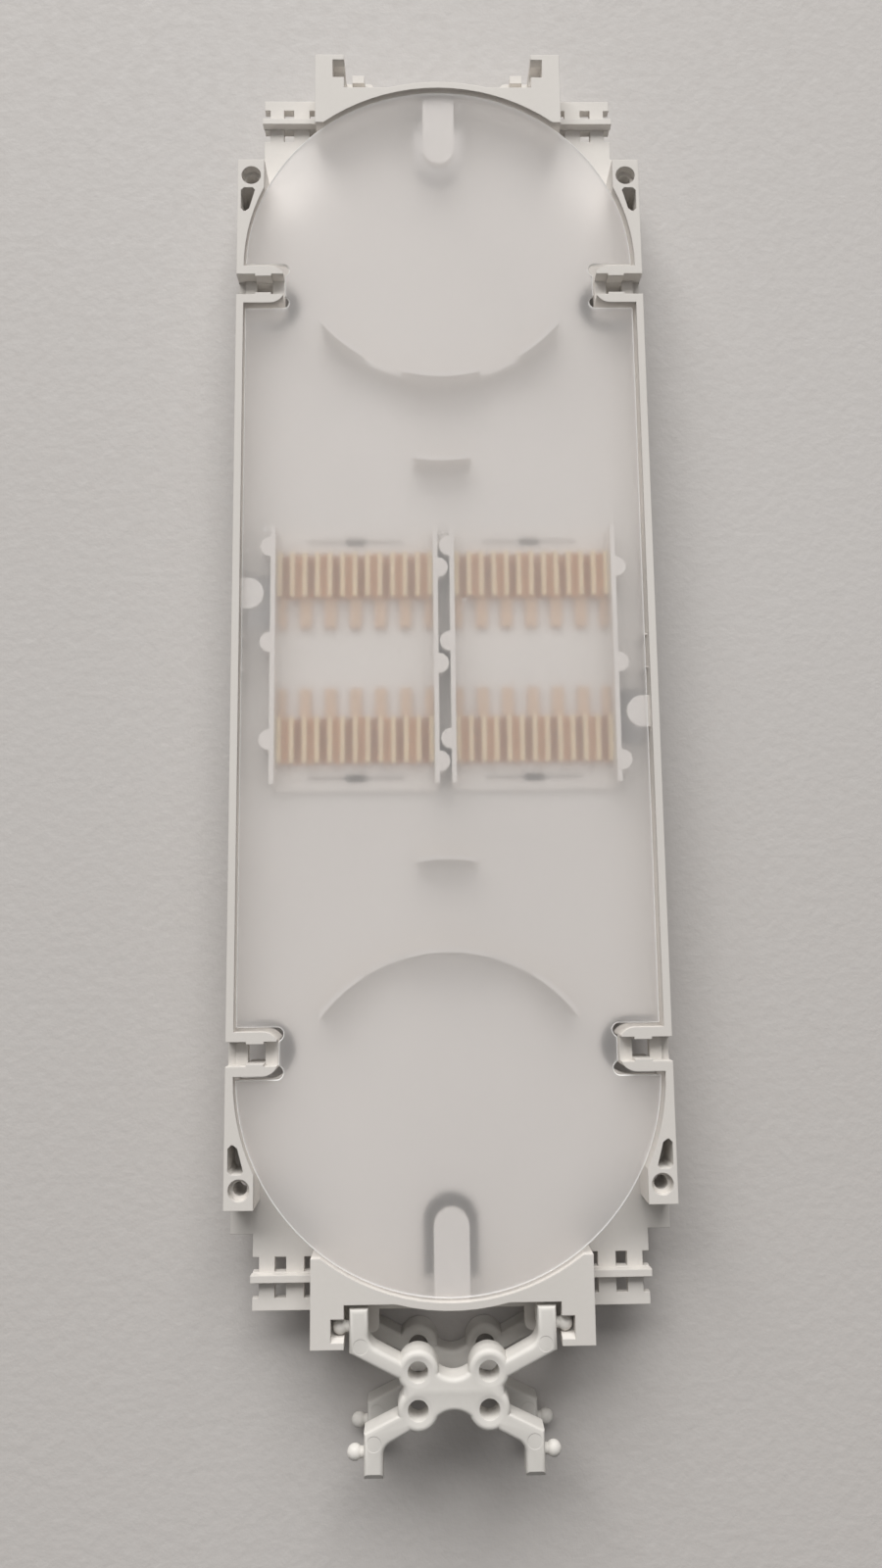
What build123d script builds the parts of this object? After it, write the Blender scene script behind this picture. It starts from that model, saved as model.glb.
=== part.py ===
from build123d import *
import os

os.makedirs("parts", exist_ok=True)

# All sizes in millimetres. The origin is the middle of the four screw holes,
# on the underside of the floor. +Z is up, +Y runs to the end without links.

# tray shell
HALF_WIDTH = 48.2        # middle to the outer face of a side wall
SIDE_WALL = 1.7
BEND_R = HALF_WIDTH - SIDE_WALL   # inside radius of the round ends
BEND_Y = 93.7            # middle of each round end
END_WALL = 1.6
END_Y = BEND_Y + BEND_R + END_WALL
FLOOR = 2.0
RIM_TOP = 11.2
PLATE_OUT = 34.6         # the wide floor goes this far past the middle of the round end
PLATE_END_Y = BEND_Y + PLATE_OUT
FLOOR_OUT = 2.4          # the narrow floor goes this far past the round wall
FLOOR_END_Y = END_Y + FLOOR_OUT
LADDER_IN = 4.9          # the narrow floor's edge from the tray's side
LADDER_X = HALF_WIDTH - LADDER_IN

# corner lugs with the screw holes
SCREW_IN = 3.2           # screw holes from the tray's side
SCREW_X = HALF_WIDTH - SCREW_IN
SCREW_OUT = 23.3         # screw holes past the middle of the round end
SCREW_Y = BEND_Y + SCREW_OUT
SCREW_R = 1.5
HEAD_R = 2.3
HEAD_DEPTH = 2.0
LUG_WALL_IN = 3.1        # screw hole's middle to the lug's inner face
LUG_WALL_END = 4.1       # and to its end face
LUG_X = SCREW_X - LUG_WALL_IN
LUG_END_Y = SCREW_Y + LUG_WALL_END
POCKET_WALL = 0.8
POCKET_OUT = HALF_WIDTH - POCKET_WALL
POCKET_WIDE = 3.5        # width near the screw
POCKET_SLIM = 1.8        # width at the far end
POCKET_GAP = 3.2         # screw hole's middle to the pocket
POCKET_L = 6.1
POCKET_Y2 = SCREW_Y - POCKET_GAP
POCKET_Y1 = POCKET_Y2 - POCKET_L
POCKET_CORNER = 0.7

# hinge towers, which reach down to the table
TOWER_IN = 22.8
TOWER_W = 7.0
TOWER_OUT = TOWER_IN + TOWER_W
HINGE_OUT = 3.6          # pin axis beyond the end of the round wall
HINGE_Y = -(END_Y + HINGE_OUT)    # axis of the pins held by the tray
TOWER_OVER = 3.7         # tower beyond the pin axis
TOWER_L = 18.1
TOWER_END_Y = -HINGE_Y + TOWER_OVER
TOWER_TIP_Y = TOWER_END_Y - TOWER_L
CHEEK_W = 7.0            # shelf between the tower and the floor's notch
CHEEK_IN = TOWER_IN - CHEEK_W
CHEEK_ROUND = 1.5

# links: both the same, one above the other
LINK_T = 6.2
LINK_PITCH = 14.5
LINK_TOPS = [RIM_TOP, RIM_TOP - LINK_PITCH]
FOOT_Z = LINK_TOPS[1] - LINK_T
LINK_LENGTH = 24.8       # between the two pin axes
FREE_PIN_Y = HINGE_Y - LINK_LENGTH
TIP = 4.4                # arm end beyond a pin axis
TIP_BEVEL = 1.3
SWING_GAP = 0.35         # arm end to the tray's end face as it swings
TOWER_ROOT_Y = -HINGE_Y - (TIP ** 2 + (LINK_T / 2 - TIP_BEVEL) ** 2) ** 0.5 - SWING_GAP
ARM_W = 4.0
ARM_GAP = 1.1            # arm to tower
ARM_OUT = TOWER_IN - ARM_GAP
ARM_IN = ARM_OUT - ARM_W
FREE_ARM_OUT = ARM_OUT - 3.0
FREE_ARM_IN = FREE_ARM_OUT - ARM_W
KNEE_OUT = 4.6           # outer knee of an arm from its pin axis
KNEE_IN = 2.8
FREE_KNEE_IN = 1.9
KNEE_ROUND = 3.0
BOSS_X = 7.4
BOSS_PITCH = 7.5
BOSS_Y1 = HINGE_Y - LINK_LENGTH / 2 + BOSS_PITCH / 2 + 0.25
BOSS_Y2 = BOSS_Y1 - BOSS_PITCH
BOSS_R = 4.3
BOSS_HOLE_R = 1.9
ROOT_OUT = (4.5, -1.2)   # where an arm's outer edge meets its boss, from the boss middle
ROOT_IN = (3.1, 1.9)
FREE_ROOT_OUT = (3.6, -0.7)
FREE_ROOT_IN = (1.6, -4.0)
WEB_HALF = BOSS_X + 3.1
WEB_OVER = 0.8           # web beyond the boss middles on the tray's side
WEB_UNDER = 1.9          # and on the free side
WEB_CUT_R1 = 5.0
WEB_CUT_R2 = 5.35
WEB_CUT_DEEP1 = 2.1      # how far each round bite goes into the web
WEB_CUT_DEEP2 = 1.7
LINK_EDGE = 0.6

# pins at the arm ends, and the sockets in the towers
PIN_R = 1.65
PIN_FIT = 0.06           # running clearance round a pin's head
NECK_R = 1.15
NECK_L = 0.9
HEAD_L = 2.75
PIN_BEVEL = 0.75
SOCKET_R = PIN_R + PIN_FIT
SOCKET_END = ARM_OUT + NECK_L + HEAD_L + 0.2
MOUTH_HALF = SOCKET_R + 0.64
MOUTH_DEPTH = 1.5

# stop pads over and under the shelf, and the notch in the arm ends that clears them
PAD_GAP = 0.3            # stop pad to the resting link
PAD_W = 3.0
PAD_X = ARM_IN + (ARM_W - PAD_W) / 2
PAD_L = 2.1
KNUCKLE_R = LINK_T / 2   # round underside of an arm end
KNUCKLE_DROP = 0.6       # the notch starts this far from the pin axis

# tie-down ladder on each corner of the floor
LADDER_START = 4.8       # edge of the wide floor to the first row of windows
LADDER_Y = PLATE_END_Y + LADDER_START
LADDER_PITCH = 5.5
LADDER_WINDOW_L = 3.1
LADDER_WINDOWS = [(TOWER_OUT, TOWER_OUT + 2.3), (TOWER_OUT + 6.2, TOWER_OUT + 8.7)]
LADDER_NOTCH_X = LADDER_X - 1.4
RIB_Y = LADDER_Y + LADDER_WINDOW_L + 0.2
RIB_W = 1.5
RIB_H = 2.0
RIB_END_X = LADDER_X + 0.2

# clips in the side walls
CLIP_Y2 = BEND_Y - 0.1
CLIP_L = 9.4
CLIP_Y1 = CLIP_Y2 - CLIP_L
CLIP_Y = CLIP_Y2 - CLIP_L / 2
CLIP_RIDGE = 2.1
CLIP_REACH = 11.0        # tip of a ridge from the tray's side
CLIP_NOSE_X = HALF_WIDTH - CLIP_REACH
CLIP_NOSE_L = 3.2        # length of the curved end of a ridge
CLIP_NOSE_DEEP = 1.75    # how far the curve leans in at the tip
CLIP_PLATE_LOW = 3.0     # clip's plate below the rim
CLIP_SILL_LOW = 0.8      # side wall's top below that plate
CLIP_PLATE_TOP = RIM_TOP - CLIP_PLATE_LOW
CLIP_SILL_TOP = CLIP_PLATE_TOP - CLIP_SILL_LOW
CLIP_PLATE_T = 2.0
CLIP_WINDOW_X1 = CLIP_NOSE_X + 2.8
CLIP_WINDOW_W = 3.8
CLIP_WINDOW_L = 4.0
CLIP_NIB = 0.5
CLIP_HOLE_R = 6.4        # round end of the floor window under a clip
CLIP_HOLE_L = 5.9        # its straight stretch, from the side wall
CLIP_HOLE_X = BEND_R - CLIP_HOLE_L

# cover
COVER_T = 1.0
COVER_SUNK = 0.8         # cover's top face below the rim
COVER_UNDER = RIM_TOP - COVER_SUNK - COVER_T
COVER_GAP = 0.5
COVER_SHIFT = -0.2       # the loose cover lies nearer to the left wall
SUPPORT_GAP = 0.3
SUPPORT_TOP = COVER_UNDER - SUPPORT_GAP
NOTCH_GAP_TIP = 1.5      # cover to the tip of a ridge
NOTCH_GAP_SIDE = 0.8     # cover to the flank of a ridge
NOTCH_GAP_MID = 0.5      # cover to the inner end of the clip's plate
NOTCH_ROUND = 1.45
NIB_Y = 3.85             # pairs of thin nibs under the cover's long edges
NIB_W = 0.5
NIB_OUT = 0.9

# fibre guides standing on the floor
GUIDE_T = 1.1
GUIDE_R = 36.4
GUIDE_IN = 27.0          # crest of the wide guide from the middle of the bend
GUIDE_CREST_Y = BEND_Y - GUIDE_IN
GUIDE_END_X = 28.4
GUIDE_LOW_X = 9.3        # the low stretch starts here
GUIDE_LOW_W = 9.2
GUIDE_LOW_H = 4.6
GUIDE_LOW_TOP = FLOOR + GUIDE_LOW_H
LANE_W = 20.5            # wide guide to short guide
STUB_CREST_Y = GUIDE_CREST_Y - LANE_W
STUB_END_X = 6.8
STUB_H = 6.2
STUB_TOP = FLOOR + STUB_H

# tongues and side tabs under the cover
TONGUE_HALF = 3.8
TONGUE_L = 20.1
TONGUE_TIP_Y = END_Y - TONGUE_L
TONGUE_T = 1.5
WINDOW_SIDE = 2.2        # floor window beyond the tongue's sides
WINDOW_TIP = 1.7         # and beyond its tip
WINDOW_L = 18.0
TAB_R = 3.65
TAB_X = HALF_WIDTH - 3.25
TAB_Y = 14.1
TAB_WINDOW_W = 6.3
TAB_WINDOW_L = 13.2
TAB_BITE = 0.3           # outer skin of the wall left over a tab's root

# splice holders
HOLDER_IN = 1.35
WALL_GAP = 6.7           # holder to the side wall
HOLDER_OUT = BEND_R - WALL_GAP
HOLDER_WALL = 1.1
HOLDER_HALF = 30.1
HOLDER_PLATE_HALF = HOLDER_HALF + 1.1
HOLDER_PLATE_T = 1.0
EAR_R = 2.4
EAR_SIDES = 12
EAR_END = 4.9            # first ear from the end of its wall
EAR_PITCH = 22.6
EARS = [HOLDER_HALF - EAR_END - i * EAR_PITCH for i in range(3)]
LATCH_Y = HOLDER_HALF - 1.9
LATCH_L = 22.0
LATCH_W = 0.7
LATCH_EYE_L = 5.0
LATCH_EYE_W = 1.7
LATCH_HOLE_EDGE = 0.2    # square hole in the tray's floor, larger all round than the eye over it
HOLDER_MID = (HOLDER_IN + HOLDER_OUT) / 2

# combs that grip the splices
COMB_GAP = 0.12
COMB_L = 10.5
COMB_IN = 5.3            # comb to the end of the holder's wall
COMB_Y2 = HOLDER_HALF - COMB_IN
COMB_Y1 = COMB_Y2 - COMB_L
PLATE_TOP = FLOOR + HOLDER_PLATE_T
COMB_H = 3.2
COMB_TOP = PLATE_TOP + COMB_H
SLOT_COUNT = 12
FIN_T = 1.05
COMB_W = HOLDER_OUT - HOLDER_IN - 2 * HOLDER_WALL - 2 * COMB_GAP
FIN_PITCH = (COMB_W - FIN_T) / SLOT_COUNT
SLOT_DEEP = 0.5          # comb material under a deep slot
SLOT_SHALLOW = 1.7
FINGER_COUNT = 7
FINGER_PITCH = 2 * FIN_PITCH
FINGER_L = 7.0
FINGER_W = 2.6
FINGER_T = 1.1


def save(piece, name):
    piece.part.label = name
    export_step(piece.part, "parts/" + name + ".step")


# One quarter of the tray is drawn, then mirrored twice.
with BuildPart() as tray:
    # floor
    with BuildSketch():
        with BuildLine():
            Polyline((0, 0), (HALF_WIDTH, 0), (HALF_WIDTH, PLATE_END_Y),
                     (LADDER_X, PLATE_END_Y), (LADDER_X, FLOOR_END_Y),
                     (0, FLOOR_END_Y), close=True)
        make_face()
        for row in (0, 1):
            for x1, x2 in LADDER_WINDOWS + [(LADDER_NOTCH_X, HALF_WIDTH)]:
                with Locations((x1, LADDER_Y + row * LADDER_PITCH)):
                    Rectangle(x2 - x1, LADDER_WINDOW_L, align=(Align.MIN, Align.MIN),
                              mode=Mode.SUBTRACT)
    extrude(amount=FLOOR)
    # side wall, lug and end wall, as seen from above
    with BuildSketch():
        with Locations((HALF_WIDTH, 0)):
            Rectangle(SIDE_WALL, BEND_Y + 1, align=(Align.MAX, Align.MIN))
        with Locations((HALF_WIDTH, LUG_END_Y)):
            Rectangle(HALF_WIDTH - LUG_X, LUG_END_Y - BEND_Y, align=(Align.MAX, Align.MAX))
        with Locations((TOWER_OUT, TOWER_ROOT_Y)):
            Rectangle(TOWER_OUT, TOWER_ROOT_Y - TOWER_TIP_Y, align=(Align.MAX, Align.MAX))
        with BuildLine():
            CenterArc((0, BEND_Y), BEND_R + END_WALL, 60, 30)
            Polyline((0, END_Y), (0, BEND_Y),
                     ((BEND_R + END_WALL) * 0.5, BEND_Y + (BEND_R + END_WALL) * 3 ** 0.5 / 2))
        make_face()
        with Locations((0, BEND_Y)):
            Circle(BEND_R, mode=Mode.SUBTRACT)
    extrude(amount=RIM_TOP)
    # tower with its leg, and the shelf beside it
    with BuildSketch(Plane.XY.offset(FOOT_Z)):
        with Locations((TOWER_IN, TOWER_TIP_Y)):
            Rectangle(TOWER_W, TOWER_END_Y - TOWER_TIP_Y, align=(Align.MIN, Align.MIN))
    extrude(amount=-FOOT_Z + FLOOR)
    with BuildSketch(Plane.XY.offset(FLOOR)):
        with Locations((TOWER_IN, TOWER_ROOT_Y)):
            Rectangle(TOWER_W, TOWER_END_Y - TOWER_ROOT_Y, align=(Align.MIN, Align.MIN))
    extrude(amount=RIM_TOP - FLOOR)
    with BuildSketch():
        with Locations((CHEEK_IN, TOWER_ROOT_Y)):
            Rectangle(TOWER_IN - CHEEK_IN, TOWER_END_Y - TOWER_ROOT_Y, align=(Align.MIN, Align.MIN))
    extrude(amount=FLOOR)
    upright = tray.edges().filter_by(Axis.Z)
    fillet(upright.filter_by_position(Axis.Y, TOWER_END_Y - 0.01, TOWER_END_Y + 0.01)
           .filter_by_position(Axis.X, CHEEK_IN - 0.01, CHEEK_IN + 0.01), CHEEK_ROUND)
    # stop pads over and under the shelf
    pad_over = LINK_TOPS[0] - LINK_T - PAD_GAP - FLOOR
    pad_under = -LINK_TOPS[1] - PAD_GAP
    with BuildSketch(Plane.XY.offset(-pad_under)):
        with Locations((PAD_X, TOWER_END_Y)):
            Rectangle(PAD_W, PAD_L, align=(Align.MIN, Align.MAX))
    extrude(amount=pad_under + FLOOR + pad_over)
    # sockets for the pin heads, open at the top and, lower down, at the bottom
    for way, edge_z in ((1, RIM_TOP), (-1, FOOT_Z)):
        axis_z = edge_z - way * LINK_T / 2
        low_y, high_y = -HINGE_Y - SOCKET_R, -HINGE_Y + SOCKET_R
        with BuildSketch(Plane.YZ.offset(TOWER_IN)):
            with BuildLine():
                Polyline((low_y, axis_z), (low_y, edge_z - way * MOUTH_DEPTH),
                         (-HINGE_Y - MOUTH_HALF, edge_z), (-HINGE_Y + MOUTH_HALF, edge_z),
                         (high_y, edge_z - way * MOUTH_DEPTH), (high_y, axis_z))
                ThreePointArc((high_y, axis_z), (-HINGE_Y, axis_z - way * SOCKET_R), (low_y, axis_z))
            make_face()
        extrude(amount=SOCKET_END - TOWER_IN, mode=Mode.SUBTRACT)
    # screw hole with its sunk head, and the tapered pocket beside it
    with BuildSketch():
        with Locations((SCREW_X, SCREW_Y)):
            Circle(SCREW_R)
    extrude(amount=RIM_TOP, mode=Mode.SUBTRACT)
    with BuildSketch(Plane.XY.offset(RIM_TOP - HEAD_DEPTH)):
        with Locations((SCREW_X, SCREW_Y)):
            Circle(HEAD_R)
    extrude(amount=HEAD_DEPTH, mode=Mode.SUBTRACT)
    with BuildSketch(Plane.XY.offset(FLOOR)) as pocket:
        with BuildLine():
            Polyline((POCKET_OUT, POCKET_Y2), (POCKET_OUT - POCKET_WIDE, POCKET_Y2),
                     (POCKET_OUT - POCKET_SLIM, POCKET_Y1), (POCKET_OUT, POCKET_Y1), close=True)
        make_face()
        chamfer(pocket.vertices(), POCKET_CORNER)
    extrude(amount=RIM_TOP - FLOOR, mode=Mode.SUBTRACT)
    # rib across the ladder
    with BuildSketch(Plane.XY.offset(FLOOR)):
        with Locations((TOWER_OUT, RIB_Y)):
            Rectangle(RIB_END_X - TOWER_OUT, RIB_W, align=(Align.MIN, Align.MIN))
    extrude(amount=RIB_H)
    # clip: two ridges, the plate between them and its square window
    with BuildSketch(Plane.XY.offset(FLOOR)):
        with BuildLine():
            flank = Polyline((CLIP_NOSE_X, CLIP_Y2 - CLIP_NOSE_DEEP), (CLIP_NOSE_X, CLIP_Y2 - CLIP_RIDGE),
                             (HALF_WIDTH, CLIP_Y2 - CLIP_RIDGE), (HALF_WIDTH, CLIP_Y2),
                             (CLIP_NOSE_X + CLIP_NOSE_L, CLIP_Y2))
            TangentArc(flank @ 1, flank @ 0, tangent=(-1, 0))
        make_face()
        with Locations((CLIP_WINDOW_X1, CLIP_Y2 - CLIP_RIDGE)):
            Rectangle(CLIP_WINDOW_W, 2 * CLIP_NIB, align=(Align.MIN, Align.CENTER))
        mirror(about=Plane.XZ.offset(-CLIP_Y))
    extrude(amount=RIM_TOP - FLOOR)
    with BuildSketch(Plane.XY.offset(CLIP_SILL_TOP)):
        with Locations((HALF_WIDTH, CLIP_Y)):
            Rectangle(SIDE_WALL, CLIP_L - 2 * CLIP_RIDGE, align=(Align.MAX, Align.CENTER))
    extrude(amount=RIM_TOP - CLIP_SILL_TOP, mode=Mode.SUBTRACT)
    with BuildSketch(Plane.XY.offset(CLIP_PLATE_TOP - CLIP_PLATE_T)):
        with Locations((CLIP_NOSE_X, CLIP_Y)):
            Rectangle(BEND_R - CLIP_NOSE_X, CLIP_L - 2 * CLIP_RIDGE, align=(Align.MIN, Align.CENTER))
    extrude(amount=CLIP_PLATE_T)
    with BuildSketch():
        with Locations((CLIP_WINDOW_X1, CLIP_Y)):
            Rectangle(CLIP_WINDOW_W, CLIP_WINDOW_L, align=(Align.MIN, Align.CENTER))
    extrude(amount=CLIP_PLATE_TOP, mode=Mode.SUBTRACT)
    # floor window under the clip, and the hole under the eye of a splice holder's latch
    with BuildSketch():
        with Locations((CLIP_HOLE_X, CLIP_Y)):
            Circle(CLIP_HOLE_R)
            Rectangle(BEND_R - CLIP_HOLE_X, 2 * CLIP_HOLE_R, align=(Align.MIN, Align.CENTER))
        with Locations((HOLDER_MID, LATCH_Y)):
            Rectangle(LATCH_EYE_L + 2 * LATCH_HOLE_EDGE, LATCH_EYE_W + 2 * LATCH_HOLE_EDGE)
    extrude(amount=FLOOR, mode=Mode.SUBTRACT)
    # nib under the cover's edge
    with BuildSketch(Plane.XY.offset(FLOOR)):
        with Locations((BEND_R, NIB_Y)):
            Rectangle(NIB_OUT, NIB_W, align=(Align.MAX, Align.CENTER))
    extrude(amount=SUPPORT_TOP - FLOOR)
    # curved fibre guides
    for crest, end_x, top in ((GUIDE_CREST_Y, GUIDE_END_X, SUPPORT_TOP),
                              (STUB_CREST_Y, STUB_END_X, STUB_TOP)):
        with BuildSketch(Plane.XY.offset(FLOOR)):
            with Locations((0, crest + GUIDE_R)):
                Circle(GUIDE_R)
                Circle(GUIDE_R - GUIDE_T, mode=Mode.SUBTRACT)
            with Locations((0, crest)):
                Rectangle(end_x, GUIDE_R, align=(Align.MIN, Align.MIN), mode=Mode.INTERSECT)
        extrude(amount=top - FLOOR)
    with BuildSketch(Plane.XY.offset(GUIDE_LOW_TOP)):
        with Locations((GUIDE_LOW_X, GUIDE_CREST_Y)):
            Rectangle(GUIDE_LOW_W, CLIP_Y1 - GUIDE_CREST_Y, align=(Align.MIN, Align.MIN))
    extrude(amount=SUPPORT_TOP - GUIDE_LOW_TOP, mode=Mode.SUBTRACT)
    # floor window under the tongue, then the tongue itself
    with BuildSketch():
        window_r = TONGUE_HALF + WINDOW_SIDE
        with Locations((0, TONGUE_TIP_Y - WINDOW_TIP + window_r)):
            Circle(window_r)
            Rectangle(window_r, WINDOW_L - window_r, align=(Align.MIN, Align.MIN))
    extrude(amount=FLOOR, mode=Mode.SUBTRACT)
    with BuildSketch(Plane.XY.offset(SUPPORT_TOP - TONGUE_T)):
        with Locations((0, TONGUE_TIP_Y + TONGUE_HALF)):
            Circle(TONGUE_HALF)
            Rectangle(TONGUE_HALF, END_Y - END_WALL / 2 - TONGUE_TIP_Y - TONGUE_HALF,
                      align=(Align.MIN, Align.MIN))
    extrude(amount=TONGUE_T)
    mirror(about=Plane.YZ)
    mirror(about=Plane.XZ)
    # half-round tabs on opposite corners of the middle, with their floor windows
    for side in (-1, 1):
        with BuildSketch():
            with Locations((side * (BEND_R - TAB_WINDOW_W / 2), -side * TAB_Y)):
                Rectangle(TAB_WINDOW_W, TAB_WINDOW_L)
        extrude(amount=FLOOR, mode=Mode.SUBTRACT)
        with BuildSketch(Plane.XY.offset(SUPPORT_TOP - TONGUE_T)):
            root_x = HALF_WIDTH - TAB_BITE
            with Locations((side * TAB_X, -side * TAB_Y)):
                Circle(TAB_R)
            with Locations((side * (TAB_X + root_x) / 2, -side * TAB_Y)):
                Rectangle(root_x - TAB_X, 2 * TAB_R)
            with Locations((0, -side * TAB_Y)):
                Rectangle(2 * root_x, 2 * TAB_R, mode=Mode.INTERSECT)
        extrude(amount=TONGUE_T)
save(tray, "tray_body")

with BuildPart() as cover:
    cover_plane = Plane(origin=(COVER_SHIFT, 0, COVER_UNDER))
    with BuildSketch(cover_plane):
        r = BEND_R - COVER_GAP
        Rectangle(2 * r, 2 * BEND_Y)
        with Locations((0, BEND_Y), (0, -BEND_Y)):
            Circle(r)
    extrude(amount=COVER_T)
    with BuildSketch(cover_plane):
        # round a clip: a round-ended slot for each ridge, and the plain stretch between them
        corners = [(sx, sy * CLIP_Y) for sx in (-1, 1) for sy in (-1, 1)]
        slot_in, slot_out = CLIP_NOSE_X - NOTCH_GAP_TIP, HALF_WIDTH + NOTCH_ROUND
        slot_w = CLIP_RIDGE + NOTCH_GAP_SIDE
        slot_y = CLIP_L / 2 + NOTCH_GAP_SIDE - slot_w / 2
        with Locations(*[(sx * (slot_in + slot_out) / 2, y + flank * slot_y)
                         for sx, y in corners for flank in (-1, 1)]):
            RectangleRounded(slot_out - slot_in, slot_w, min(NOTCH_ROUND, slot_w / 2 - 0.01))
        mid_in = CLIP_NOSE_X - NOTCH_GAP_MID
        with Locations(*[(sx * (mid_in + slot_out) / 2, y) for sx, y in corners]):
            Rectangle(slot_out - mid_in, 2 * slot_y)
    extrude(amount=COVER_T, mode=Mode.SUBTRACT)
save(cover, "cover")


def build_holder(side):
    """One splice holder. side is -1 for the left one and 1 for the right one."""
    mid = side * HOLDER_MID
    width = HOLDER_OUT - HOLDER_IN
    with BuildPart() as holder:
        with BuildSketch(Plane.XY.offset(FLOOR)):
            with Locations((mid, 0)):
                Rectangle(width, 2 * HOLDER_PLATE_HALF)
            for y in (-LATCH_Y, LATCH_Y):
                with Locations((mid, y)):
                    Rectangle(LATCH_L, LATCH_W, mode=Mode.SUBTRACT)
                    SlotOverall(LATCH_EYE_L, LATCH_EYE_W, mode=Mode.SUBTRACT)
        extrude(amount=HOLDER_PLATE_T)
        with BuildSketch(Plane.XY.offset(FLOOR)):
            for flank in (-1, 1):
                face_x = mid + flank * width / 2
                with Locations((face_x - flank * HOLDER_WALL / 2, 0)):
                    Rectangle(HOLDER_WALL, 2 * HOLDER_HALF)
                # half-round ears, left ones and right ones at different places
                with Locations(*[(face_x, -flank * y) for y in EARS]):
                    RegularPolygon(EAR_R, EAR_SIDES)
            with Locations((mid, 0)):
                Rectangle(width - 2 * HOLDER_WALL, 3 * HOLDER_HALF, mode=Mode.SUBTRACT)
        extrude(amount=SUPPORT_TOP - FLOOR)
    return holder


def build_comb(side, way):
    """One comb. way is 1 for the one nearer +Y and -1 for the other."""
    mid = side * HOLDER_MID
    with BuildPart() as comb:
        with BuildSketch(Plane.XY.offset(PLATE_TOP)):
            with Locations((mid, way * (COMB_Y1 + COMB_Y2) / 2)):
                Rectangle(COMB_W, COMB_L)
        extrude(amount=COMB_TOP - PLATE_TOP)
        for deep in (0, 1):
            depth = SLOT_DEEP if deep else SLOT_SHALLOW
            picked = [i for i in range(SLOT_COUNT) if (i + (way > 0)) % 2 == deep]
            with BuildSketch(Plane.XY.offset(PLATE_TOP + depth)):
                with Locations(*[(mid + (i - (SLOT_COUNT - 1) / 2) * FIN_PITCH,
                                  way * (COMB_Y1 + COMB_Y2) / 2) for i in picked]):
                    Rectangle(FIN_PITCH - FIN_T, COMB_L)
            extrude(amount=COMB_TOP - PLATE_TOP - depth, mode=Mode.SUBTRACT)
        with BuildSketch(Plane.XY.offset(PLATE_TOP)):
            with Locations(*[(mid + (k - (FINGER_COUNT - 1) / 2) * FINGER_PITCH,
                              way * (COMB_Y1 - FINGER_L / 2)) for k in range(FINGER_COUNT)]):
                Rectangle(FINGER_W, FINGER_L)
            with Locations((mid, way * (COMB_Y1 - FINGER_L / 2))):
                Rectangle(COMB_W, FINGER_L, mode=Mode.INTERSECT)
        extrude(amount=FINGER_T)
    return comb


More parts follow.
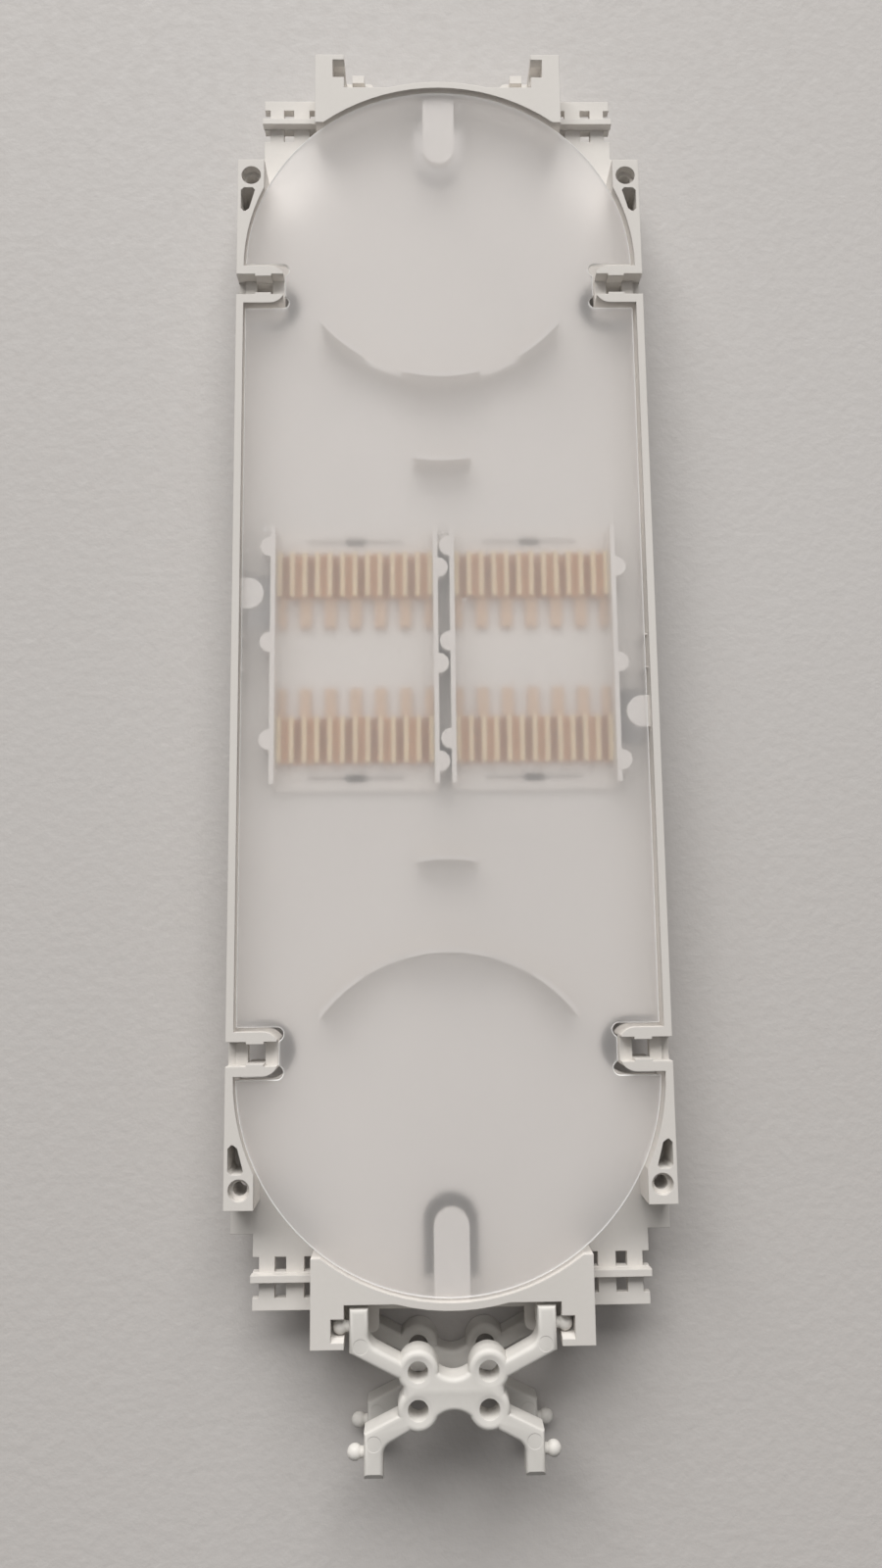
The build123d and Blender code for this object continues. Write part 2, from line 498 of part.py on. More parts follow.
def build_link(top, way):
    """One link with its top face at the given height. way is 1 when the arm ends are
    notched underneath, and -1 when the same link lies upside down."""
    axis_z = top - LINK_T / 2
    with BuildPart() as link:
        with BuildSketch(Plane.XY.offset(top - LINK_T)) as plan:
            with BuildLine():
                Polyline((ARM_IN, HINGE_Y + TIP), (ARM_OUT, HINGE_Y + TIP), (ARM_OUT, HINGE_Y - KNEE_OUT),
                         (BOSS_X + ROOT_OUT[0], BOSS_Y1 + ROOT_OUT[1]), (BOSS_X, BOSS_Y1 - BOSS_R / 2),
                         (BOSS_X, BOSS_Y1), (BOSS_X + ROOT_IN[0], BOSS_Y1 + ROOT_IN[1]),
                         (ARM_IN, HINGE_Y - KNEE_IN), close=True)
            make_face()
            with BuildLine():
                Polyline((BOSS_X + FREE_ROOT_OUT[0], BOSS_Y2 + FREE_ROOT_OUT[1]),
                         (FREE_ARM_OUT, FREE_PIN_Y + KNEE_OUT), (FREE_ARM_OUT, FREE_PIN_Y - TIP),
                         (FREE_ARM_IN, FREE_PIN_Y - TIP), (FREE_ARM_IN, FREE_PIN_Y + FREE_KNEE_IN),
                         (BOSS_X + FREE_ROOT_IN[0], BOSS_Y2 + FREE_ROOT_IN[1]), (BOSS_X, BOSS_Y2),
                         close=True)
            make_face()
            knees = [(ARM_IN, HINGE_Y - KNEE_IN), (FREE_ARM_IN, FREE_PIN_Y + FREE_KNEE_IN)]
            fillet([v for v in plan.vertices()
                    if any(abs(v.X - x) + abs(v.Y - y) < 0.01 for x, y in knees)], KNEE_ROUND)
            web_y1, web_y2 = BOSS_Y1 + WEB_OVER, BOSS_Y2 - WEB_UNDER
            with Locations((0, (web_y1 + web_y2) / 2)):
                Rectangle(WEB_HALF, web_y1 - web_y2, align=(Align.MIN, Align.CENTER))
            with Locations((0, web_y1 - WEB_CUT_DEEP1 + WEB_CUT_R1)):
                Circle(WEB_CUT_R1, mode=Mode.SUBTRACT)
            with Locations((0, web_y2 + WEB_CUT_DEEP2 - WEB_CUT_R2)):
                Circle(WEB_CUT_R2, mode=Mode.SUBTRACT)
            with Locations((BOSS_X, BOSS_Y1), (BOSS_X, BOSS_Y2)):
                Circle(BOSS_R)
            mirror(about=Plane.YZ)
        extrude(amount=LINK_T)
        flat = link.faces().filter_by(Axis.Z)
        chamfer(flat.edges(), LINK_EDGE)
        # bevelled arm ends, so that the arms can swing past the tray
        with BuildSketch(Plane.YZ):
            for tip_y, out in ((HINGE_Y + TIP, 1), (FREE_PIN_Y - TIP, -1)):
                for edge_z, up in ((top, 1), (top - LINK_T, -1)):
                    with BuildLine():
                        Polyline((tip_y + out, edge_z + up), (tip_y - out * TIP_BEVEL, edge_z + up),
                                 (tip_y - out * TIP_BEVEL, edge_z), (tip_y, edge_z - up * TIP_BEVEL),
                                 (tip_y + out, edge_z - up * TIP_BEVEL), close=True)
                    make_face()
        extrude(amount=ARM_OUT + 1, both=True, mode=Mode.SUBTRACT)
        # round notch in the arm ends that clears the stop pads
        with BuildSketch(Plane.YZ):
            with Locations((HINGE_Y, axis_z - way * KNUCKLE_DROP)):
                Rectangle(TIP + 1, LINK_T, align=(Align.MIN, Align.MAX if way > 0 else Align.MIN))
            with Locations((HINGE_Y, axis_z)):
                Circle(KNUCKLE_R, mode=Mode.SUBTRACT)
        extrude(amount=ARM_OUT + 1, both=True, mode=Mode.SUBTRACT)
        with BuildSketch(Plane.XY.offset(top - LINK_T)):
            with Locations(*[(sx * BOSS_X, y) for sx in (-1, 1) for y in (BOSS_Y1, BOSS_Y2)]):
                Circle(BOSS_HOLE_R)
        extrude(amount=LINK_T, mode=Mode.SUBTRACT)
        # necked pins, turned about their axes
        for face_x, y in ((ARM_OUT, HINGE_Y), (FREE_ARM_OUT, FREE_PIN_Y)):
            with BuildSketch(Plane((0, y, axis_z), x_dir=(1, 0, 0), z_dir=(0, -1, 0))):
                with BuildLine():
                    head_x = face_x + NECK_L
                    end_x = head_x + HEAD_L
                    Polyline((face_x - NECK_L, 0), (face_x - NECK_L, NECK_R), (head_x, NECK_R),
                             (head_x, PIN_R), (end_x - PIN_BEVEL, PIN_R), (end_x, PIN_R - PIN_BEVEL),
                             (end_x, 0), close=True)
                make_face()
                mirror(about=Plane.YZ)
            revolve(axis=Axis((0, y, axis_z), (1, 0, 0)))
    return link


for side, word in ((-1, "left"), (1, "right")):
    save(build_holder(side), "splice_holder_" + word)
    for way, end in ((1, "far"), (-1, "near")):
        save(build_comb(side, way), "splice_comb_" + word + "_" + end)
save(build_link(LINK_TOPS[0], 1), "link_upper")
save(build_link(LINK_TOPS[1], -1), "link_lower")
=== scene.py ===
import bmesh
import bpy
import math
from mathutils import Euler, Matrix, Vector


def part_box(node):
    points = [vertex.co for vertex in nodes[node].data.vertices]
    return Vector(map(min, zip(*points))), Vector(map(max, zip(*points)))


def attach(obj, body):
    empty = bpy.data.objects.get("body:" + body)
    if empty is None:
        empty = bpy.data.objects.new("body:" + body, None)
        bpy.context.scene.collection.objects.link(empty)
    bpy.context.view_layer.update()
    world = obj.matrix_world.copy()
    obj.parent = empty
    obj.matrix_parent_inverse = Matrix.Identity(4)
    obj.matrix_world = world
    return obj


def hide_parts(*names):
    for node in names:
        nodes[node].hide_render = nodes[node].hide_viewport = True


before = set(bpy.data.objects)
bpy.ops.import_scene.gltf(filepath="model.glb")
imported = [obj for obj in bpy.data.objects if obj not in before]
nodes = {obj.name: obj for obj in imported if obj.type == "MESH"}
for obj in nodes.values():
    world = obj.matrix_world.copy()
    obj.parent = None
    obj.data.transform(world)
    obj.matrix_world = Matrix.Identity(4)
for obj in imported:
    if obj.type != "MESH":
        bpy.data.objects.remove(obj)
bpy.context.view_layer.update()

MM = 0.001           # one millimetre in Blender's metres

# Sizes of the links in millimetres, as in the solids
LINK_T = 6.2
LINK_HALF = LINK_T / 2
TIP = 4.4            # arm beyond the axis of its pin
TIP_BEVEL = 1.3
HINGE_TIP = 4.2      # the tips in the towers are blunter than in the solids
HINGE_BEVEL = 0.5
ARM_OUT = 21.7       # outer face of the arms in the towers
FREE_ARM_OUT = 18.7  # outer face of the free arms
HINGE_Y = -145.4
FREE_PIN_Y = -170.2
HOLE_R = 1.9
HOLE_STEPS = 48
PIN_R = 1.65
PIN_STEPS = 48
BALL_STEPS = 14
NECK_R = 1.15
NECK_ROOT = 0.8      # length of a neck inside its arm
BALL_OFF = 2.0       # middle of a ball pin from the arm's face
KNUCKLE_DROP = 0.6   # the knuckle's notch starts this far from the pin's axis
KNUCKLE_STEPS = 12

# Rounding of the moulded links in millimetres
EDGE = 0.6           # the solid's flat faces end this far inside its sides
ROUND = 0.95         # radius of the moulded edges
ROUND_STEPS = 4
HOLE_LIP = 0.35      # share of that rounding at the holes
SMOOTH_ANGLE = 38    # in degrees
CUT_REACH = 30       # cutting prisms reach this far to both sides
SNAP = 0.01          # tolerance for points on an edge
PLAY = 0.02          # tolerance for the level of a face and for the width of a lip
MERGE = 0.002        # corners nearer than this are one
MERGE_PLATE = 0.001

# Ejector marks on the links: middles, radius, slope of the rim and depth
RINGS = ((19.3, -148.6), (16.6, -167.5))
RING_R = 1.6
RING_SLOPE = 0.12
RING_DEPTH = 0.08

# Relief and rounded edges of the surfaces in millimetres
GRAIN = 0.02
SOFT_EDGE = 0.22
SHEET_GRAIN = 0.01
RUBBER_GRAIN = 0.05
RUBBER_EDGE = 0.15
TABLE_PEEL = 0.3

# Cover
COVER_BEVEL = 0.32
COVER_BEND = 40      # edges sharper than this many degrees are bevelled
EDGE_HIGHLIGHT_MILK = 0.95     # painted highlight: whiter milk on the cover's cut edges
MARK_MILK = 0.55     # whitening of the cover's small marks
VEIL = (0.13, 0.17)  # thin milkiness all over
LOW_ANGLE_MILK = 0.88
STRAIGHT = 0.2       # share of the view that the frost doesn't blur
SPREAD_SHARE = 0.52  # share of the light that the frost spreads to the inside
FACE_SHADE = (0.5, 0.5, 0.5, 1.0)    # light left in a shadow after one face

# Heights on a comb, from its underside, that set where its painted shade deepens and fades
SLOT_FLOOR_SHADE = (0.6, 0.9)
FINGER_TOP = 1.1
FINGER_BLEND = (0.1, 0.3)
TOOTH_FOOT = 1.6
TOOTH_TOP = 0.2      # below the comb's top

# Small light marks on the cover: middle x and y, half length, half width, angle
MARKS = ((-4.5, 131.0, 0.9, 0.22, 35), (-6.0, 131.6, 0.5, 0.18, -20), (5.2, 136.0, 1.0, 0.2, 50),
         (-5.6, 128.6, 0.5, 0.16, 60), (-41.0, 29.0, 1.3, 0.22, 75), (-45.0, 24.0, 0.9, 0.2, 70),
         (4.8, 12.0, 0.8, 0.2, 20), (10.0, 50.0, 1.1, 0.18, -40), (23.0, 129.5, 0.7, 0.2, -25),
         (-31.0, -62.0, 0.9, 0.14, 30), (18.0, -97.0, 1.2, 0.14, -15))

# Scene around the part
TABLE_Z = -9.5
TABLE_REACH = 3.0    # metres from the middle to the table's edge
WORLD_LIGHT = 0.08
WALL_SEEN = 0.68     # brightness of the backdrop for the camera
CAMERA_PLACE = (-5.258, -61.281, 244.632)    # in millimetres
CAMERA_TURN = (7.4672, -0.9086, -0.6696)     # in degrees
CAMERA_LENS = 24.3


# Materials
class Mat:
    """A small helper that adds nodes and links to one material."""

    def __init__(self, name):
        self.material = bpy.data.materials.new(name)
        self.material.use_nodes = True
        self.tree = self.material.node_tree
        self.tree.nodes.clear()
        self.output = self.tree.nodes.new("ShaderNodeOutputMaterial")
        where = self.tree.nodes.new("ShaderNodeTexCoord")
        self.place = where.outputs["Object"]
        self.normal = where.outputs["Normal"]

    def node(self, kind, inputs, **props):
        """Adds a node, and sets its inputs or links them."""
        new = self.tree.nodes.new(kind)
        for key, value in props.items():
            setattr(new, key, value)
        for key, value in inputs.items():
            if isinstance(value, bpy.types.NodeSocket):
                self.tree.links.new(value, new.inputs[key])
            else:
                new.inputs[key].default_value = value
        return new

    def noise(self, scale, detail, rough=0.5):
        return self.node("ShaderNodeTexNoise", {"Vector": self.place, "Scale": scale, "Detail": detail,
                                                "Roughness": rough}).outputs["Fac"]

    def spread(self, value, low, high, start=0.3, end=0.7):
        """Maps start..end to low..high. A noise lies mostly between 0.3 and 0.7."""
        return self.node("ShaderNodeMapRange", {"Value": value, "From Min": start, "From Max": end,
                                                "To Min": low, "To Max": high}).outputs["Result"]

    def mix(self, share, one, two):
        return self.node("ShaderNodeMix", {0: share, 6: one, 7: two}, data_type="RGBA").outputs[2]

    def tones(self, noise, light, dark, start=0.3, end=0.7):
        """A colour that wanders between two tones."""
        return self.mix(self.spread(noise, 0.0, 1.0, start, end), light, dark)

    def math(self, operation, one, two=0.0):
        return self.node("ShaderNodeMath", {0: one, 1: two}, operation=operation).outputs[0]

    def layered(self, coarse, fine, share):
        """Two noises added, share of them fine."""
        return self.math("ADD", self.math("MULTIPLY", coarse, 1 - share),
                         self.math("MULTIPLY", fine, share))

    def vector(self, operation, one, two=(0, 0, 0)):
        """A number for a length or a distance, and a vector otherwise."""
        result = self.node("ShaderNodeVectorMath", {0: one, 1: two}, operation=operation).outputs
        return result["Value" if operation in ("LENGTH", "DISTANCE") else "Vector"]

    def height_of(self, vector):
        return self.node("ShaderNodeSeparateXYZ", {0: vector}).outputs["Z"]

    def bump(self, height, distance, strength, normal=None):
        inputs = {"Height": height, "Distance": distance, "Strength": strength}
        if normal is not None:
            inputs["Normal"] = normal
        return self.node("ShaderNodeBump", inputs).outputs["Normal"]

    def soft_edge(self, radius):
        return self.node("ShaderNodeBevel", {"Radius": radius}, samples=4).outputs["Normal"]

    def principled(self, inputs):
        return self.node("ShaderNodeBsdfPrincipled", inputs).outputs["BSDF"]

    def transparent(self, colour):
        return self.node("ShaderNodeBsdfTransparent", {"Color": colour}).outputs[0]

    def blend(self, share, one, two):
        return self.node("ShaderNodeMixShader", {0: share, 1: one, 2: two}).outputs[0]

    def finish(self, shader):
        self.tree.links.new(shader, self.output.inputs["Surface"])
        return self.material


def rgb(red, green, blue):
    """sRGB 0-255 to a linear colour."""
    def linear(value):
        value /= 255
        return value / 12.92 if value <= 0.04045 else ((value + 0.055) / 1.055) ** 2.4
    return (linear(red), linear(green), linear(blue), 1.0)


def plastic(name, light, dark, rough, cloud=14.0, rings=()):
    """Satin moulded plastic: cloudy tone, fine spark-eroded grain, faint flow and ejector marks."""
    k = Mat(name)
    clouds = k.noise(cloud, detail=2.0)
    specks = k.noise(900.0, detail=2.0)
    flow = k.noise(60.0, detail=3.0, rough=0.6)
    grain = k.noise(4200.0, detail=2.0, rough=0.6)
    normal = k.bump(grain, GRAIN * MM, 0.6, k.soft_edge(SOFT_EDGE * MM))
    # The marks lie the same way at all four arms, so the place is folded onto one
    folded = k.vector("MULTIPLY", k.vector("ABSOLUTE", k.place), (1, 1, 0))
    for x, y in rings:
        away = k.vector("DISTANCE", folded, (x * MM, -y * MM, 0))
        disc = k.spread(away, 0.0, 1.0, (RING_R - RING_SLOPE) * MM, RING_R * MM)
        normal = k.bump(disc, RING_DEPTH * MM, 0.7, normal)
    return k.finish(k.principled({
        "Base Color": k.tones(k.layered(clouds, specks, 0.2), light, dark, 0.35, 0.65),
        "Roughness": k.spread(flow, rough - 0.05, rough + 0.07), "Normal": normal,
        "IOR": 1.45, "Specular IOR Level": 0.2}))


def cover_marks(k):
    """How milky the small marks make a place: MARK_MILK in their middle, 0 outside."""
    marks = 0.0
    for x, y, half_length, half_width, angle in MARKS:
        inside = k.node("ShaderNodeMapping", {
            "Vector": k.place, "Location": (x * MM, y * MM, 0),
            "Rotation": (0, 0, math.radians(angle)),
            "Scale": (half_length * MM, half_width * MM, 1.0)}, vector_type="TEXTURE").outputs[0]
        mark = k.spread(k.vector("LENGTH", inside), MARK_MILK, 0.0, 0.4, 1.0)
        marks = k.math("MAXIMUM", marks, mark)
    return marks


def cover_material():
    """Frosted sheet: clear to what touches it, milky to what lies deeper."""
    k = Mat("frosted_cover")
    clouds = k.noise(9.0, detail=2.0)
    haze = k.noise(45.0, detail=4.0, rough=0.6)
    normal = k.bump(k.noise(2600.0, detail=2.0), SHEET_GRAIN * MM, 0.5)
    # Painted highlight: where the shading normal lies flat, the cut edges get more and whiter milk,
    # standing in for light that leaves the sheet at its edges
    edge = k.spread(k.math("ABSOLUTE", k.height_of(k.normal)), EDGE_HIGHLIGHT_MILK, 0.0, 0.7, 0.97)
    # A matt sheet turns milky where it is seen at a low angle
    facing = k.node("ShaderNodeLayerWeight", {"Blend": 0.5}).outputs["Facing"]
    low_angle = k.spread(facing, VEIL[0], LOW_ANGLE_MILK, 0.4, 0.8)
    veil = k.math("MAXIMUM", k.math("MAXIMUM", cover_marks(k), edge),
                  k.math("MAXIMUM", low_angle, k.spread(haze, *VEIL)))
    frost = k.principled({
        "Base Color": k.tones(clouds, rgb(251, 250, 251), rgb(246, 245, 246)),
        "Roughness": k.spread(haze, 0.66, 0.72), "Normal": normal, "IOR": 1.15,
        "Transmission Weight": 1.0})
    milk_tone = k.tones(haze, rgb(235, 234, 233), rgb(228, 227, 226))
    milk = k.principled({
        # Painted highlight: the milk turns near white on the cut edges
        "Base Color": k.mix(edge, milk_tone, rgb(254, 254, 253)),
        "Roughness": k.spread(haze, 0.5, 0.58), "Normal": normal, "IOR": 1.36,
        "Specular IOR Level": 0.2})
    clear = k.transparent(rgb(250, 249, 249))
    body = k.blend(veil, k.blend(STRAIGHT, frost, clear), milk)
    # Light reaches the inside partly straight and partly spread by the frost
    spread = k.node("ShaderNodeBsdfTranslucent", {"Color": rgb(252, 251, 251)}).outputs[0]
    inward = k.blend(SPREAD_SHARE, clear, spread)
    ray = k.node("ShaderNodeLightPath", {}).outputs
    seen = k.blend(ray["Is Diffuse Ray"], body, inward)
    return k.finish(k.blend(ray["Is Shadow Ray"], seen, k.transparent(FACE_SHADE)))


def rubber_material():
    """Beige soft comb rubber, slightly mottled, with painted shade: darker and more saturated down in the
    slots, pale on the teeth.
    """
    k = Mat("beige_rubber")
    cloud = k.noise(160.0, detail=3.0)
    fine = k.noise(1500.0, detail=2.0)
    low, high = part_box("splice_comb_left_far")
    foot, top = low.z, high.z
    height = k.height_of(k.place)
    # Painted shade: the lower parts of the slots get a darker, more saturated tone than the teeth,
    # standing in for the shade deep in the slots
    slot_shade_tone = k.tones(cloud, rgb(206, 160, 122), rgb(198, 150, 112))
    on_teeth = k.tones(cloud, rgb(232, 212, 176), rgb(224, 202, 166))
    colour = k.mix(k.spread(height, 0.0, 1.0, foot + TOOTH_FOOT * MM, top - TOOTH_TOP * MM),
                   slot_shade_tone, on_teeth)
    # Painted shade, darker still just above the slot floors
    slot_floor_shade = k.spread(height, 0.6, 0.0, foot + SLOT_FLOOR_SHADE[0] * MM, foot + SLOT_FLOOR_SHADE[1] * MM)
    colour = k.mix(slot_floor_shade, colour, rgb(184, 140, 108))
    # A paler band at the height of the fingers' tops keeps them out of the painted slot shade
    off_finger = k.math("ABSOLUTE", k.math("SUBTRACT", height, foot + FINGER_TOP * MM))
    finger = k.spread(off_finger, 0.8, 0.0, FINGER_BLEND[0] * MM, FINGER_BLEND[1] * MM)
    colour = k.mix(finger, colour, rgb(216, 192, 168))
    normal = k.bump(fine, RUBBER_GRAIN * MM, 0.5, k.soft_edge(RUBBER_EDGE * MM))
    return k.finish(k.principled({
        "Base Color": colour, "Roughness": k.spread(fine, 0.55, 0.72), "Normal": normal, "IOR": 1.42,
        "Subsurface Weight": 0.15, "Subsurface Radius": (1.0, 0.7, 0.4), "Subsurface Scale": 1.0 * MM}))


def table_material():
    """Pale warm grey table top with an orange-peel grain."""
    k = Mat("table")
    cloud = k.noise(3.0, detail=2.0)
    speck = k.noise(260.0, detail=3.0, rough=0.6)
    peel = k.noise(420.0, detail=3.0, rough=0.55)
    return k.finish(k.principled({
        "Base Color": k.tones(k.layered(cloud, speck, 0.3), rgb(209, 206, 204), rgb(202, 198, 195)),
        "Roughness": k.spread(speck, 0.5, 0.65), "Normal": k.bump(peel, TABLE_PEEL * MM, 0.45),
        "IOR": 1.4, "Specular IOR Level": 0.25}))


WHITE = plastic("white_tray", rgb(226, 222, 217), rgb(220, 216, 211), rough=0.5)
HOLDER = plastic("white_holder", rgb(228, 223, 217), rgb(223, 218, 212), rough=0.46, cloud=40.0)
LINK = plastic("white_link", rgb(226, 223, 218), rgb(219, 216, 211), rough=0.4, cloud=60.0, rings=RINGS)
COVER = cover_material()
RUBBER = rubber_material()


# Solids that stay as they are, with new materials
def dress(node, material):
    piece = nodes[node]
    piece.data.materials.clear()
    piece.data.materials.append(material)
    return piece


def soften_edges(piece, width):
    """Rounds a sheet's edges a little."""
    piece.modifiers.new("weld", "WELD").merge_threshold = MERGE * MM
    soft = piece.modifiers.new("soft", "BEVEL")
    soft.width = width * MM
    soft.segments = 2
    soft.limit_method = "ANGLE"
    soft.angle_limit = math.radians(COVER_BEND)
    soft.loop_slide = False
    soft.use_clamp_overlap = False
    soft.harden_normals = True


dress("tray_body", WHITE)
soften_edges(dress("cover", COVER), COVER_BEVEL)
for side in ("left", "right"):
    dress("splice_holder_" + side, HOLDER)
    for end in ("far", "near"):
        dress("splice_comb_" + side + "_" + end, RUBBER)


# Links, drawn with soft edges over their solids
def link_to_scene(name, data):
    piece = bpy.data.objects.new(name, data)
    bpy.context.scene.collection.objects.link(piece)
    return piece


def new_object(name, bm, material):
    mesh = bpy.data.meshes.new(name)
    bm.to_mesh(mesh)
    bm.free()
    mesh.materials.append(material)
    return link_to_scene(name, mesh)


def evaluated_mesh(piece):
    """A new mesh of what the piece's modifiers or curve settings make."""
    depsgraph = bpy.context.evaluated_depsgraph_get()
    return bpy.data.meshes.new_from_object(piece.evaluated_get(depsgraph))


def face_loops(mesh, level, up):
    """Outlines, in millimetres, of a solid's flat face at a level. up is 1 for a top face, else -1."""
    bm = bmesh.new()
    bm.from_mesh(mesh)
    bmesh.ops.remove_doubles(bm, verts=bm.verts, dist=MERGE * MM)
    flat = {f for f in bm.faces
            if f.normal.z * up > 0.99 and abs(f.calc_center_median().z - level) < PLAY * MM}
    rim = {}
    for edge in bm.edges:
        if sum(f in flat for f in edge.link_faces) == 1:
            a, b = edge.verts
            rim.setdefault(a, []).append(b)
            rim.setdefault(b, []).append(a)
    loops = []
    while rim:
        start = next(iter(rim))
        loop, last, here = [start], None, start
        while True:
            steps = [v for v in rim[here] if v is not last]
            last, here = here, steps[0]
            if here is start:
                break
            loop.append(here)
        for v in loop:
            rim.pop(v)
        loops.append([v.co.to_2d() / MM for v in loop])
    bm.free()
    return loops


def circle(centre, radius, steps):
    x, y = centre
    return [(x + radius * math.cos(a), y + radius * math.sin(a))
            for a in (2 * math.pi * i / steps for i in range(steps))]


def arm_end(y):
    """Moves the outline's straight ends to where the moulded tips end."""
    if y > HINGE_Y + TIP - TIP_BEVEL - SNAP:
        return HINGE_Y + HINGE_TIP - EDGE
    if y < FREE_PIN_Y - TIP + TIP_BEVEL + SNAP:
        return FREE_PIN_Y - TIP + EDGE
    return y


def link_outline(loops):
    """The splines of a link's plate, and the middles of its holes."""
    splines, holes = [], []
    for loop in loops:
        xs = [p.x for p in loop]
        ys = [p.y for p in loop]
        # A loop as narrow as this is a hole
        if max(xs) - min(xs) < 3 * HOLE_R:
            hole = ((max(xs) + min(xs)) / 2, (max(ys) + min(ys)) / 2)
            holes.append(hole)
            splines.append(circle(hole, HOLE_R + ROUND, HOLE_STEPS))
        else:
            splines.append([(p.x, arm_end(p.y)) for p in loop])
    return splines, holes


def round_plate(name, splines, axis_z):
    """A plate with round edges inside closed splines, as a bmesh."""
    curve = bpy.data.curves.new(name, "CURVE")
    curve.dimensions = "2D"
    curve.fill_mode = "BOTH"
    for points in splines:
        spline = curve.splines.new("POLY")
        spline.points.add(len(points) - 1)
        for point, (x, y) in zip(spline.points, points):
            point.co = (x * MM, y * MM, 0, 1)
        spline.use_cyclic_u = True
    curve.bevel_depth = ROUND * MM
    curve.bevel_resolution = ROUND_STEPS
    curve.offset = -(ROUND - EDGE) * MM
    curve.extrude = (LINK_HALF - ROUND) * MM
    drawn = link_to_scene(name, curve)
    mesh = evaluated_mesh(drawn)
    bpy.data.objects.remove(drawn)
    bpy.data.curves.remove(curve)
    bm = bmesh.new()
    bm.from_mesh(mesh)
    bpy.data.meshes.remove(mesh)
    bmesh.ops.translate(bm, verts=bm.verts, vec=(0, 0, axis_z * MM))
    bmesh.ops.remove_doubles(bm, verts=bm.verts, dist=MERGE_PLATE * MM)
    bmesh.ops.recalc_face_normals(bm, faces=bm.faces)
    return bm


def tighten_holes(bm, holes):
    """Draws the wide lips of the holes in towards the holes' own radius."""
    for v in bm.verts:
        for hole in holes:
            centre = Vector(hole) * MM
            arm = v.co.to_2d() - centre
            over = arm.length - HOLE_R * MM
            if 0 < over < (ROUND + PLAY) * MM:
                arm = arm.normalized() * (HOLE_R * MM + over * HOLE_LIP)
                v.co.x, v.co.y = centre + arm


def prism(name, outline):
    """A prism along X from points (y, z) in millimetres."""
    bm = bmesh.new()
    ends = [[bm.verts.new((x * MM, y * MM, z * MM)) for y, z in outline] for x in (-CUT_REACH, CUT_REACH)]
    bm.faces.new(ends[0])
    bm.faces.new(ends[1])
    n = len(outline)
    for i in range(n):
        bm.faces.new((ends[0][i], ends[0][(i + 1) % n], ends[1][(i + 1) % n], ends[1][i]))
    bmesh.ops.recalc_face_normals(bm, faces=bm.faces)
    return new_object(name, bm, LINK)


def lathe(name, profile, centre):
    """A piece turned about X: profile is (along, radius) in millimetres."""
    bm = bmesh.new()
    rings = []
    for along, radius in profile:
        if radius == 0:
            rings.append([bm.verts.new((along * MM, 0, 0))])
        else:
            rings.append([bm.verts.new((along * MM, y * MM, z * MM))
                          for y, z in circle((0, 0), radius, PIN_STEPS)])
    for one, two in zip(rings, rings[1:]):
        for i in range(PIN_STEPS):
            j = (i + 1) % PIN_STEPS
            corners = (one[i % len(one)], one[j % len(one)], two[j % len(two)], two[i % len(two)])
            bm.faces.new([v for k, v in enumerate(corners) if v not in corners[:k]])
    bmesh.ops.translate(bm, verts=bm.verts, vec=Vector(centre) * MM)
    bmesh.ops.recalc_face_normals(bm, faces=bm.faces)
    return new_object(name, bm, LINK)


def combine(piece, tool, how):
    """Cuts tool from piece or joins the two, and deletes tool."""
    boolean = piece.modifiers.new("combine", "BOOLEAN")
    boolean.operation, boolean.object, boolean.solver = how, tool, "EXACT"
    mesh = evaluated_mesh(piece)
    piece.modifiers.clear()
    old, tool_mesh = piece.data, tool.data
    piece.data = mesh
    bpy.data.objects.remove(tool)
    bpy.data.meshes.remove(old)
    bpy.data.meshes.remove(tool_mesh)


def bevel_tips(piece, axis_z):
    """Slopes both ends of all four arms, above and below."""
    for tip, out, bevel in ((HINGE_Y + HINGE_TIP, 1, HINGE_BEVEL), (FREE_PIN_Y - TIP, -1, TIP_BEVEL)):
        for up in (1, -1):
            face = axis_z + up * LINK_HALF
            combine(piece, prism("wedge", [(tip + out, face + up), (tip - out * bevel, face + up),
                                           (tip - out * bevel, face), (tip, face - up * bevel),
                                           (tip + out, face - up * bevel)]), "DIFFERENCE")


def round_knuckles(piece, axis_z, way):
    """Rounds the arm ends in the towers about their pins, on the side of the stop pads."""
    start = math.asin(KNUCKLE_DROP / LINK_HALF)
    turns = [start + (math.pi / 2 - start) * i / KNUCKLE_STEPS for i in range(KNUCKLE_STEPS + 1)]
    notch = [(HINGE_Y + LINK_HALF * math.cos(a), axis_z - way * LINK_HALF * math.sin(a)) for a in turns]
    past_y, past_z = HINGE_Y + TIP + 1, axis_z - way * (LINK_HALF + 1)
    notch += [(HINGE_Y, past_z), (past_y, past_z), (past_y, axis_z - way * KNUCKLE_DROP)]
    combine(piece, prism("notch", notch), "DIFFERENCE")


def add_ball_pins(piece, axis_z):
    """Joins the four ball pins with their necks to the arms."""
    meet = math.asin(NECK_R / PIN_R)
    turns = [meet + (math.pi - meet) * i / BALL_STEPS for i in range(1, BALL_STEPS)]
    profile = [(-NECK_ROOT, 0), (-NECK_ROOT, NECK_R), (BALL_OFF - PIN_R * math.cos(meet), NECK_R)]
    profile += [(BALL_OFF - PIN_R * math.cos(a), PIN_R * math.sin(a)) for a in turns]
    profile.append((BALL_OFF + PIN_R, 0))
    for face_x, y in ((ARM_OUT, HINGE_Y), (FREE_ARM_OUT, FREE_PIN_Y)):
        for side in (-1, 1):
            pin = lathe("pin", [(side * along, radius) for along, radius in profile],
                        (side * face_x, y, axis_z))
            combine(piece, pin, "UNION")


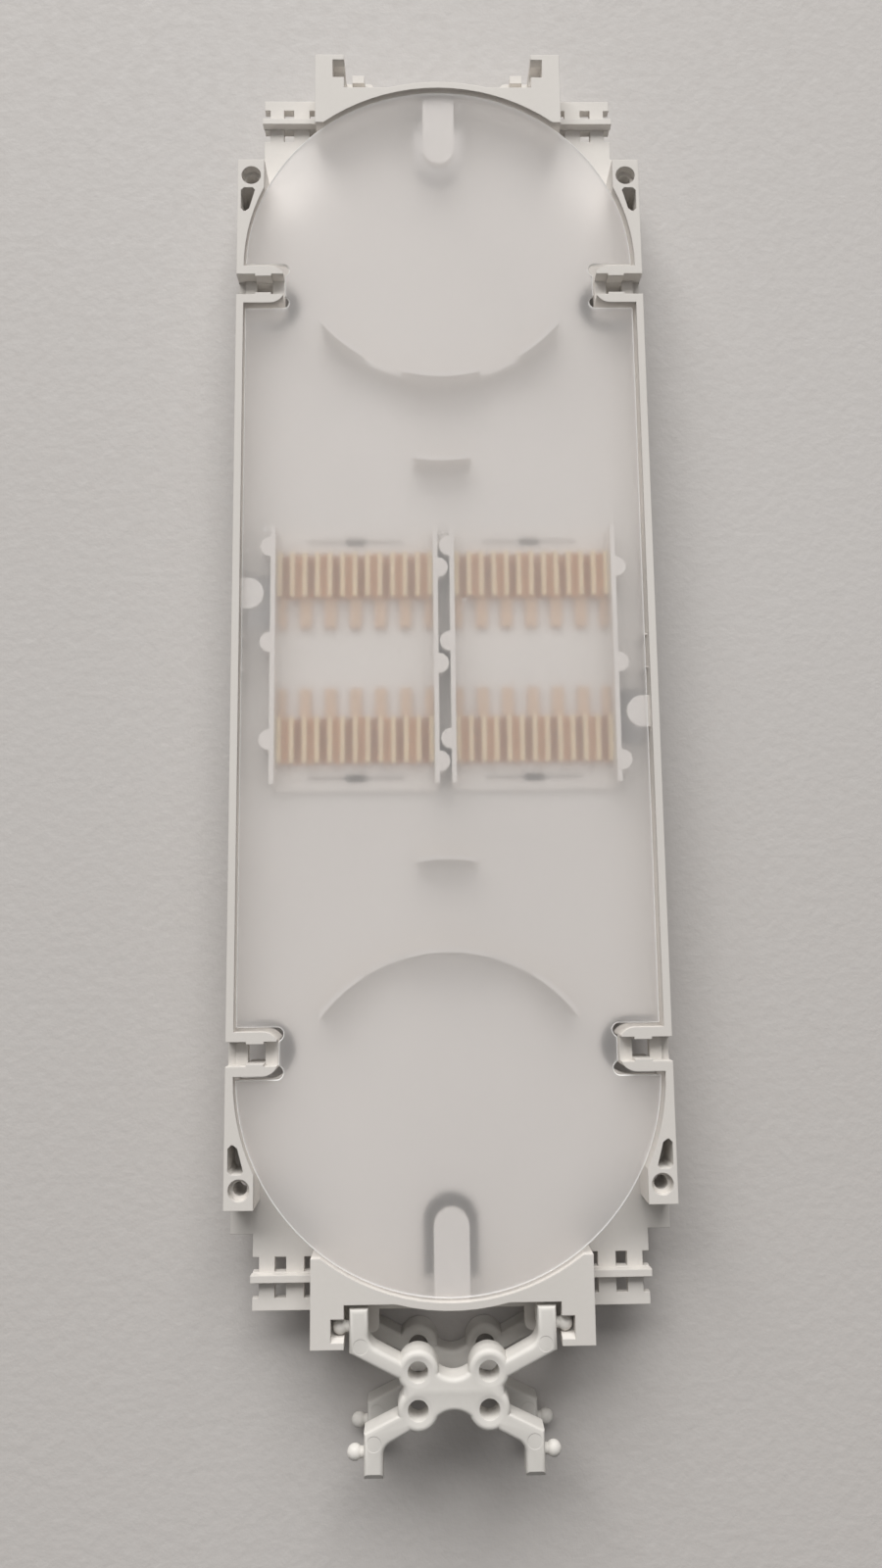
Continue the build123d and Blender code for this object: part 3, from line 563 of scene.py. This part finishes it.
def build_link(node, body, way):
    """Replaces a link's solid. way is 1 where the link swings up and -1 where it swings down."""
    low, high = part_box(node)
    axis_z = (low.z + high.z) / 2 / MM
    # The knuckles are cut away on one side, so the whole outline is on the other
    whole = high.z if way > 0 else low.z
    splines, holes = link_outline(face_loops(nodes[node].data, whole, way))
    bm = round_plate(node + "_plate", splines, axis_z)
    tighten_holes(bm, holes)
    piece = new_object(node + "_moulded", bm, LINK)
    bevel_tips(piece, axis_z)
    round_knuckles(piece, axis_z, way)
    add_ball_pins(piece, axis_z)
    for polygon in piece.data.polygons:
        polygon.use_smooth = True
    piece.data.set_sharp_from_angle(angle=math.radians(SMOOTH_ANGLE))
    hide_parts(node)
    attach(piece, body)


build_link("link_upper", "upper_link", 1)
build_link("link_lower", "lower_link", -1)


# Table, lights and camera
def build_table():
    bm = bmesh.new()
    bmesh.ops.create_grid(bm, x_segments=2, y_segments=2, size=TABLE_REACH)
    table = new_object("table", bm, table_material())
    table.location.z = TABLE_Z * MM


def area(name, place, power, size, colour):
    """A soft rectangular lamp that points at the tray. Its place and size are in metres."""
    light = bpy.data.lights.new(name, "AREA")
    light.shape = "RECTANGLE"
    light.energy = power
    light.size, light.size_y = size
    light.color = colour
    lamp = link_to_scene(name, light)
    lamp.location = place
    lamp.rotation_euler = (-Vector(place)).to_track_quat("-Z", "Y").to_euler()


def light_room():
    """Even weak light from all sides. The camera sees a pale wall there, which lights nothing."""
    world = bpy.data.worlds.new("room_light")
    bpy.context.scene.world = world
    world.use_nodes = True
    tree = world.node_tree
    background = tree.nodes["Background"]
    background.inputs["Color"].default_value = (1.0, 0.985, 0.97, 1.0)
    wall = tree.nodes.new("ShaderNodeMapRange")
    wall.inputs["To Min"].default_value = WORLD_LIGHT
    wall.inputs["To Max"].default_value = WALL_SEEN
    tree.links.new(tree.nodes.new("ShaderNodeLightPath").outputs["Is Camera Ray"], wall.inputs["Value"])
    tree.links.new(wall.outputs["Result"], background.inputs["Strength"])


def place_camera():
    camera = bpy.data.cameras.new("camera")
    camera.sensor_width = 36.0
    camera.lens = CAMERA_LENS
    camera.clip_start = 0.01
    camera.clip_end = 20.0
    placed = link_to_scene("camera", camera)
    turn = Euler([math.radians(a) for a in CAMERA_TURN])
    placed.matrix_world = Matrix.LocRotScale(Vector(CAMERA_PLACE) * MM, turn, None)
    bpy.context.scene.camera = placed


build_table()
area("window", (-0.8, 5.7, 4.15), power=690.0, size=(7.6, 4.6), colour=(1.0, 0.985, 0.965))
area("room", (0.3, 0.8, 3.2), power=12.0, size=(3.0, 2.0), colour=(1.0, 0.99, 0.98))
light_room()
place_camera()
bpy.context.scene.view_settings.view_transform = "Standard"
